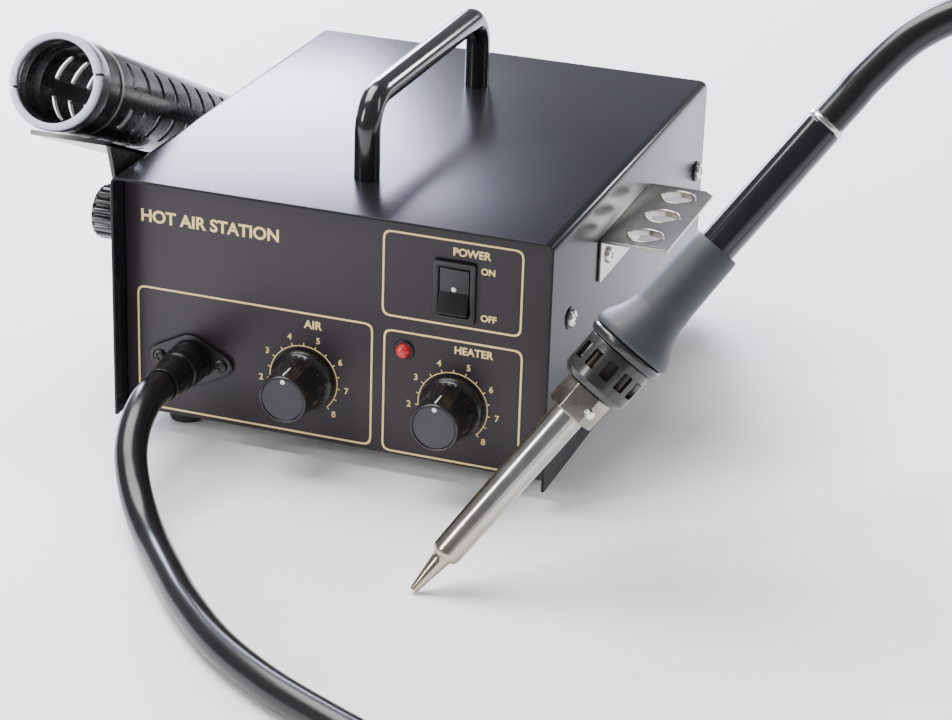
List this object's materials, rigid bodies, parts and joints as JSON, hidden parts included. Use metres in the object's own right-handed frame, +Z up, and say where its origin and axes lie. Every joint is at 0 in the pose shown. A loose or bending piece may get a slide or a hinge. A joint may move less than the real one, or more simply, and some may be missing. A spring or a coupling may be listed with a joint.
{
  "type": "hot air station",
  "caption": "Bench hot air station: sheet metal case with carry handle, dials and switch, tilting handset holder, nozzle rack, and a handset on its air hose.",
  "frame": {"origin": "middle of the footprint of the whole station with its handset, without the free hose, on the surface it stands on", "axes": "+X to the right seen from the front, +Y to the rear, +Z up; the control panel faces -Y"},
  "size_m": [0.4941, 0.4544, 0.2229],
  "materials": {
    "black_paint": "gloss black paint",
    "panel_paint": "satin black paint with printed gold lines",
    "zinc": "zinc plated",
    "stainless": "brushed stainless",
    "nickel": "nickel plated",
    "knob_plastic": "fine matt",
    "switch_plastic": "gloss",
    "red_lens": "clear red",
    "hose_rubber": "smooth glossy rubber",
    "foot_rubber": "matt",
    "grip_rubber": "soft matt grey rubber",
    "gloss_plastic": "polished",
    "holder_metal": "gloss black enamel",
    "holder_lip": "pale grey enamel",
    "pump_casting": "cast",
    "board": "green laminate",
    "coil": "yellow tape over copper wire",
    "ceramic": "fired ceramic",
    "silicone": "milky silicone"
  },
  "bodies": {
    "case": {"cover": "black_paint", "chassis_tray": "zinc", "front_panel": "panel_paint", "rear_panel": "zinc", "foot_front_left": "foot_rubber", "foot_front_right": "foot_rubber", "foot_rear_left": "foot_rubber", "foot_rear_right": "foot_rubber", "cover_screw_front_left": "nickel", "cover_screw_front_right": "nickel", "cover_screw_rear_left": "nickel", "cover_screw_rear_right": "nickel", "carry_handle": "gloss_plastic", "handle_screw_front": "nickel", "handle_screw_rear": "nickel", "power_switch_housing": "switch_plastic", "air_valve_body": "pump_casting", "heater_potentiometer": "nickel", "heater_lamp_lens": "red_lens", "heater_lamp_bezel": "switch_plastic", "hose_flange": "switch_plastic", "hose_boot": "hose_rubber", "flange_screw_left": "nickel", "flange_screw_right": "nickel", "nozzle_rack": "stainless", "rack_screw_front": "nickel", "rack_screw_rear": "nickel", "holder_nut": "zinc", "air_pump": "pump_casting", "transformer_core": "zinc", "transformer_coil": "coil", "circuit_board": "board", "board_spacer_1": "nickel", "board_spacer_2": "nickel", "inner_air_tube": "silicone", "mains_inlet": "switch_plastic", "fuse_holder": "switch_plastic", "air_hose": "hose_rubber"},
    "air_dial": {"air_knob": "knob_plastic", "air_valve_stem": "stainless"},
    "heater_dial": {"heater_knob": "knob_plastic", "heater_shaft": "stainless"},
    "power_switch": {"power_rocker": "switch_plastic"},
    "holder": {"holder_funnel": "holder_lip", "holder_collar": "holder_metal", "holder_sleeve": "holder_metal", "holder_bracket": "holder_metal"},
    "holder_clamp": {"holder_knob": "knob_plastic", "holder_bolt": "zinc"},
    "handset": {"nozzle_tip": "stainless", "heater_pipe": "stainless", "heating_element": "ceramic", "union_nut": "stainless", "vented_nose": "gloss_plastic", "nose_ring": "gloss_plastic", "grip": "grip_rubber", "handle_tube": "gloss_plastic", "hose_bushing": "nickel"}
  },
  "joints": [
    {"name": "power_switch_rock", "type": "hinge", "parent": "case", "child": "power_switch", "pos_m": [0.0219, -0.06247, 0.0842], "axis": [1, 0, 0], "range_deg": [0, 16]},
    {"name": "air_dial_turn", "type": "hinge", "parent": "case", "child": "air_dial", "pos_m": [-0.042, -0.06307, 0.035], "axis": [0, 1, 0], "range_deg": [-135, 135]},
    {"name": "heater_dial_turn", "type": "hinge", "parent": "case", "child": "heater_dial", "pos_m": [0.0223, -0.06307, 0.0345], "axis": [0, 1, 0], "range_deg": [-135, 135]},
    {"name": "holder_tilt", "type": "hinge", "parent": "case", "child": "holder", "pos_m": [-0.1222, -0.05197, 0.09], "axis": [1, 0, 0], "range_deg": [-15, 25]},
    {"name": "holder_clamp_turn", "type": "hinge", "parent": "case", "child": "holder_clamp", "pos_m": [-0.1222, -0.05197, 0.09], "axis": [-1, 0, 0], "range_deg": [0, 360]},
    {"name": "handset_lift", "type": "slide", "parent": "case", "child": "handset", "axis": [0, 0, 1], "range_m": [0, 0.04], "deforming": ["air_hose"]}
  ]
}
